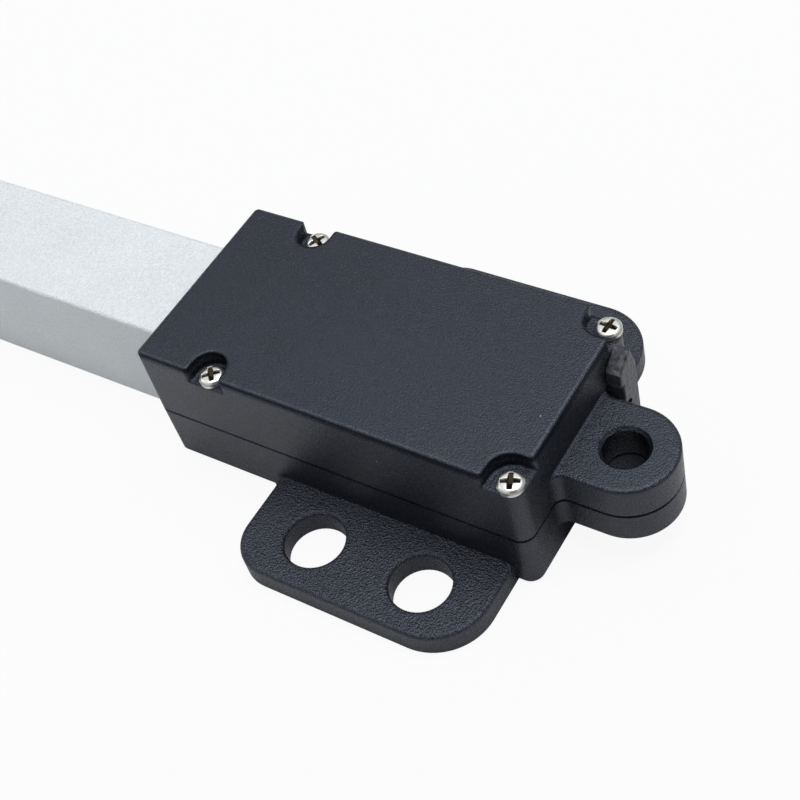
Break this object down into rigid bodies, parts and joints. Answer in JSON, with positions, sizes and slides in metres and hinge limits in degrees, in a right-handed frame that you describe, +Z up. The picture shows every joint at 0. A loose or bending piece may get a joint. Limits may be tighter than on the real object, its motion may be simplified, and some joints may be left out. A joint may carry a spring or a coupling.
{
  "type": "micro linear actuator",
  "caption": "Micro linear actuator: black housing with side mounting feet and a rear ear, square aluminium tube, and a sliding rod with a cross-hole rod end.",
  "frame": {"origin": "on the axis of the rear ear's hole, in the plane where the two halves of the housing meet", "axes": "+X along the rod's travel towards the rod end, +Z up from the feet, +Y to the left of +X"},
  "size_m": [0.1339, 0.0398, 0.0146],
  "materials": {
    "housing_plastic": "fine satin texture, black",
    "tube_aluminium": "bead blasted, clear anodised",
    "screw_nickel": "bright nickel plate",
    "grommet_rubber": "moulded, slightly rough",
    "wiper_rubber": "moulded",
    "cap_plastic": "fine satin texture, black",
    "ground_steel": "ground",
    "motor_steel": "drawn and plated",
    "dark_plastic": "moulded",
    "pale_plastic": "moulded acetal",
    "gear_brass": "cut",
    "bush_bronze": "sintered",
    "terminal_brass": "tinned",
    "board_laminate": "green solder mask",
    "diode_glass": "moulded",
    "fitting_aluminium": "machined, anodised"
  },
  "bodies": {
    "housing": {"upper_shell": "housing_plastic", "lower_shell": "housing_plastic", "cover_screws": "screw_nickel", "cable_grommet": "grommet_rubber", "outer_tube": "tube_aluminium", "front_cap": "cap_plastic", "rod_wiper": "wiper_rubber", "cap_screws": "screw_nickel", "motor_can": "motor_steel", "motor_end_cap": "dark_plastic", "motor_terminals": "terminal_brass", "gearbox_rear_plate": "gear_brass", "gearbox_front_plate": "gear_brass", "gearbox_posts": "gear_brass", "idler_pins": "ground_steel", "output_bush": "bush_bronze", "bearing_outer_ring": "ground_steel", "bearing_block": "pale_plastic", "limit_board": "board_laminate", "rear_switch": "dark_plastic", "front_switch": "dark_plastic", "diodes": "diode_glass"},
    "rod": {"push_rod": "ground_steel", "rod_end": "fitting_aluminium", "rod_end_pin": "ground_steel", "drive_nut": "gear_brass", "nut_carrier": "pale_plastic"},
    "screw": {"lead_screw": "ground_steel", "output_gear": "gear_brass", "output_shaft": "ground_steel", "shaft_coupling": "fitting_aluminium", "grub_screws": "ground_steel", "thrust_washer": "ground_steel", "bearing_inner_ring": "ground_steel"},
    "second_idler": {"idler_gear_2": "gear_brass"},
    "first_idler": {"idler_gear_1": "pale_plastic"},
    "rotor": {"motor_shaft": "ground_steel", "motor_pinion": "gear_brass"},
    "balls": {"bearing_balls": "ground_steel"},
    "rear_lever": {"rear_switch_lever": "pale_plastic"},
    "front_lever": {"front_switch_lever": "pale_plastic"}
  },
  "joints": [
    {"name": "rod_slide", "type": "slide", "parent": "housing", "child": "rod", "axis": [1, 0, 0], "range_m": [0, 0.05]},
    {"name": "screw_spin", "type": "hinge", "parent": "housing", "child": "screw", "pos_m": [0.04, 0, -0.0003], "axis": [1, 0, 0], "range_deg": [-18001, 1]},
    {"name": "second_idler_spin", "type": "hinge", "parent": "housing", "child": "second_idler", "pos_m": [0.04, -0.00303, -0.00205], "axis": [1, 0, 0], "range_deg": [-1, 52001]},
    {"name": "first_idler_spin", "type": "hinge", "parent": "housing", "child": "first_idler", "pos_m": [0.04, -0.00303, 0.00145], "axis": [1, 0, 0], "range_deg": [-150223.22, 1]},
    {"name": "rotor_spin", "type": "hinge", "parent": "housing", "child": "rotor", "pos_m": [0.04, 0, -0.0003], "axis": [1, 0, 0], "range_deg": [-1, 433976.31]},
    {"name": "ball_orbit", "type": "hinge", "parent": "housing", "child": "balls", "pos_m": [0.04, 0, -0.0003], "axis": [1, 0, 0], "range_deg": [-7351, 1]},
    {"name": "rear_lever_tilt", "type": "hinge", "parent": "housing", "child": "rear_lever", "pos_m": [0.0469, -0.0027, -0.00415], "axis": [0, -1, 0], "range_deg": [0, 8], "stiffness_Nm_per_rad": 0.000001, "springref_deg": -9.74},
    {"name": "front_lever_tilt", "type": "hinge", "parent": "housing", "child": "front_lever", "pos_m": [0.1037, -0.0027, -0.00415], "axis": [0, 1, 0], "range_deg": [0, 8], "stiffness_Nm_per_rad": 0.000001, "springref_deg": -9.74}
  ],
  "couplings": [
    {"joint": "screw_spin", "follows": "rod_slide", "rad_per_m": -6283.2},
    {"joint": "second_idler_spin", "follows": "rod_slide", "rad_per_m": 18151},
    {"joint": "first_idler_spin", "follows": "rod_slide", "rad_per_m": -52437},
    {"joint": "rotor_spin", "follows": "rod_slide", "rad_per_m": 151490},
    {"joint": "ball_orbit", "follows": "rod_slide", "rad_per_m": -2565.6}
  ]
}
